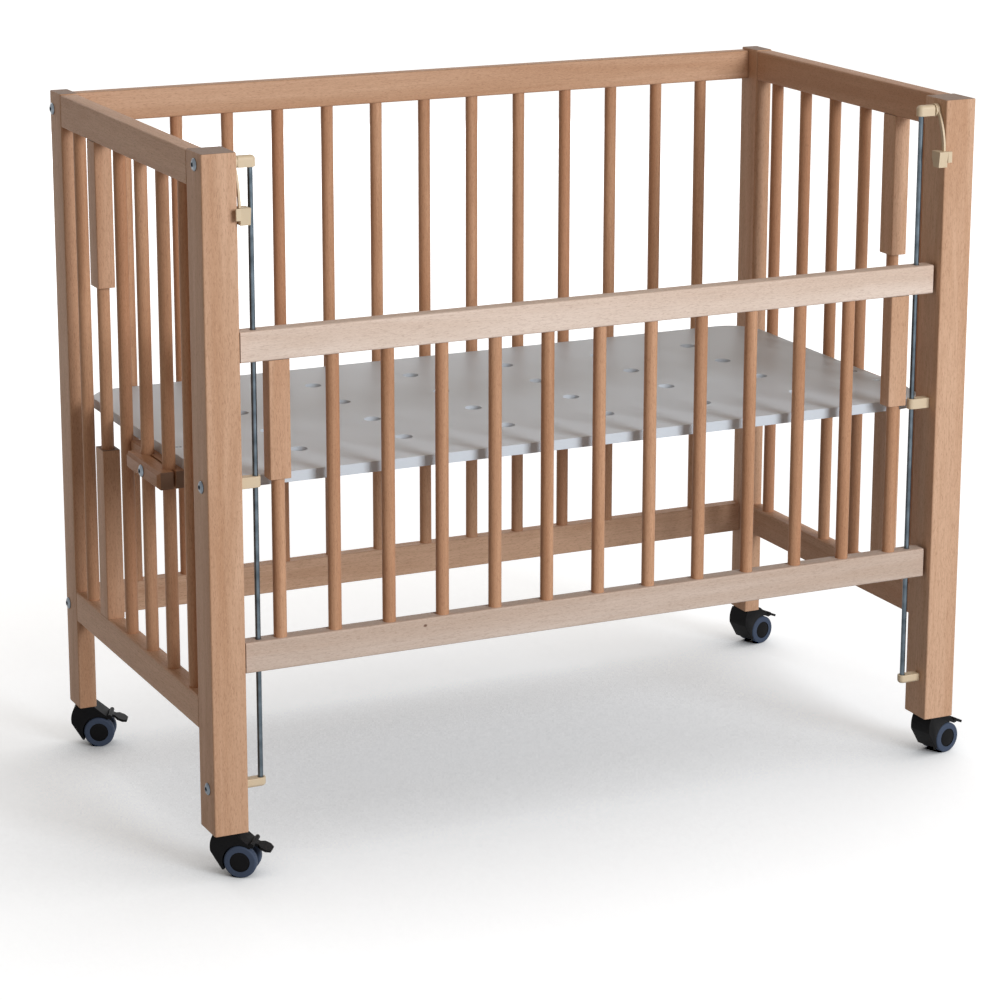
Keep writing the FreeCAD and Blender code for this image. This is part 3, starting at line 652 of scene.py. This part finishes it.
def dress_nodes():
    for index, (node, (along, wood, body)) in enumerate(WOODEN.items()):
        material = beech(f"beech_{node}", along, SEED_STEP * index, wood)
        if node.endswith("bars"):
            dress(node, material)
        else:
            eased(node, body, EASED_WOOD, "beech", material)
    eased("base_board", "base", EASED_BOARD, "white_board", board_white())
    rod_zinc = zinc("zinc_rods", "Z", ROD_ZINC, ROD_ZINC_DARK)
    for node in ("guide_rod_left", "guide_rod_right"):
        dress(node, rod_zinc)
    beige = beige_plastic()
    for node, body in BEIGE_MOULDINGS.items():
        eased(node, body, EASED_BEIGE, "beige_plastic", beige)
    head_zinc = zinc("zinc_heads", "Y", ZINC, ZINC_DARK)
    # Painted shade for the screws' recesses and wells
    dark = recess_painted_shade()
    for node, body in (("bracket_screws", "frame"), ("back_bolts", "frame"),
                       ("clamp_bolts", "base")):
        head_pieces(node, body, head_zinc, dark)
    board_screws(head_zinc, dark)
    black = black_plastic()
    tyre = tyre_rubber()
    for corner in CORNERS:
        eased(f"castor_{corner}_housing", f"castor_{corner}", EASED_CASTOR, "black_plastic", black)
        eased(f"castor_{corner}_pedal", f"pedal_{corner}", EASED_CASTOR, "black_plastic", black)
        castor_wheels(corner, black, tyre)


# ---------------------------------------------------------------- camera
def set_camera():
    data = bpy.data.cameras.new("photo_camera")
    data.sensor_width = SENSOR
    data.lens = FOCAL_SHARE * SENSOR
    data.shift_y = CAMERA_SHIFT
    data.clip_end = CAMERA_REACH
    camera = bpy.data.objects.new("photo_camera", data)
    bpy.context.collection.objects.link(camera)
    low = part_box("post_front_left")[0]
    corner = Vector((low[0], low[1], 0.0))
    forward = Vector((math.sin(CAMERA_YAW) * math.cos(CAMERA_PITCH),
                      math.cos(CAMERA_YAW) * math.cos(CAMERA_PITCH), -math.sin(CAMERA_PITCH)))
    right = Vector((math.cos(CAMERA_YAW), -math.sin(CAMERA_YAW), 0.0))
    up = right.cross(forward)
    rolled_right = right * math.cos(CAMERA_ROLL) + up * math.sin(CAMERA_ROLL)
    rolled_up = up * math.cos(CAMERA_ROLL) - right * math.sin(CAMERA_ROLL)
    turn = Matrix((rolled_right, rolled_up, -forward)).transposed().to_4x4()
    camera.matrix_world = Matrix.Translation(corner + CAMERA_FROM_CORNER) @ turn
    bpy.context.scene.camera = camera


# ---------------------------------------------------------------- light
LAMPS = {  # name: place, what it points at, size, watts, colour, whether gloss shows it
    "key_front_right": ((1.7, -5.4, 2.5), (0.0, 0.0, 0.4), 2.2, 263.0, (0.98, 1.0, 1.02), True),
    "softbox_behind": ((1.2, 4.6, 1.3), (0.0, 0.0, 0.4), 2.4, 62.0, WHITE, False),
    "edge_light": ((-0.9, 4.0, 2.2), (-0.4, 0.0, 0.7), 0.4, 10.0, WHITE, True),
}
AMBIENT = 0.20
AMBIENT_TINT = (1.24, 1.0, 0.76)


def set_lamps():
    for name, (place, target, size, watts, colour, in_gloss) in LAMPS.items():
        data = bpy.data.lights.new(name, "AREA")
        data.size = size
        data.energy = watts
        data.color = colour
        made = bpy.data.objects.new(name, data)
        bpy.context.collection.objects.link(made)
        made.location = place
        pointing = Vector(target) - Vector(place)
        made.rotation_euler = pointing.to_track_quat("-Z", "Y").to_euler()
        made.visible_glossy = in_gloss


def set_world():
    """A weak warm light all round, behind a backdrop that the camera sees white."""
    world = bpy.data.worlds.new("studio")
    world.use_nodes = True
    bpy.context.scene.world = world
    g = Tree(world.node_tree)
    seen = seen_as_background(g)
    backdrop = world.node_tree.nodes["Background"]
    g.feed(backdrop.inputs["Color"], g.mix(seen, AMBIENT_TINT, WHITE))
    g.feed(backdrop.inputs["Strength"], AMBIENT + (1.0 - AMBIENT) * seen)


def seen_as_background(g):
    """1 for rays from the camera, from gloss and through clear pieces, 0 for other light."""
    rays = g.node("ShaderNodeLightPath")
    camera, glossy, transmission = rays[0], rays[3], rays[6]
    return (camera + glossy + transmission).clipped()


# ---------------------------------------------------------------- floor
FLOOR_REACH = 14.0
FLOOR_GREY = (0.47, 0.50, 0.535)  # what the floor gives back to the crib
FLOOR_LIFT = 0.86  # white that the camera sees added to the lit floor
# The pool is painted shadow: ambient occlusion darkens the floor's camera-seen glow, and no lamp
# casts it
POOL_DEPTH = 1.2  # how much the pool of shadow under the crib darkens the floor
POOL_REACH = 0.85  # metres over which the crib darkens the floor
POOL_LEAN = (0.50, 0.0, 0.87)  # the pool falls away from the right
POOL_SAMPLES = 8
WHITE_FROM = 1.1  # metres from the crib's middle, where the floor begins to turn plain white
WHITE_AT = 2.2


def set_floor():
    mesh = bpy.data.meshes.new("studio_floor")
    mesh.from_pydata([(x * FLOOR_REACH, y * FLOOR_REACH, 0)
                      for x, y in ((-1, -1), (1, -1), (1, 1), (-1, 1))], [], [(0, 1, 2, 3)])
    floor = bpy.data.objects.new("studio_floor", mesh)
    bpy.context.collection.objects.link(floor)
    material = bpy.data.materials.new("studio_floor")
    material.use_nodes = True
    g = Tree(material.node_tree)
    distance = g.node("ShaderNodeVectorMath", {"operation": "LENGTH"}, {0: g.place()})[1]
    far = g.node("ShaderNodeMapRange", {"interpolation_type": "SMOOTHSTEP"}, {
        "Value": distance, "From Min": WHITE_FROM, "From Max": WHITE_AT})[0]
    lean = g.node("ShaderNodeCombineXYZ", {}, dict(enumerate(POOL_LEAN)))[0]
    # Painted shadow: the crib's occlusion of the sky darkens the glow under it, leaning so that
    # the pool falls away from the right
    open_sky = g.node("ShaderNodeAmbientOcclusion", {"samples": POOL_SAMPLES}, {
        "Distance": POOL_REACH, "Normal": lean})[1]
    painted_pool_lift = FLOOR_LIFT * (1.0 - POOL_DEPTH * (1.0 - open_sky))
    lift = painted_pool_lift + (1.0 - painted_pool_lift) * far
    diffuse = g.node("ShaderNodeBsdfDiffuse", {}, {"Color": FLOOR_GREY})[0]
    glow = g.node("ShaderNodeEmission", {}, {"Strength": lift * seen_as_background(g)})[0]
    both = g.node("ShaderNodeAddShader", {}, {0: diffuse, 1: glow})[0]
    g.feed(material.node_tree.nodes["Material Output"].inputs["Surface"], both)
    mesh.materials.append(material)


def main():
    dress_nodes()
    set_camera()
    set_lamps()
    set_world()
    set_floor()
    bpy.context.scene.view_settings.view_transform = "Standard"
    bpy.context.view_layer.update()


main()
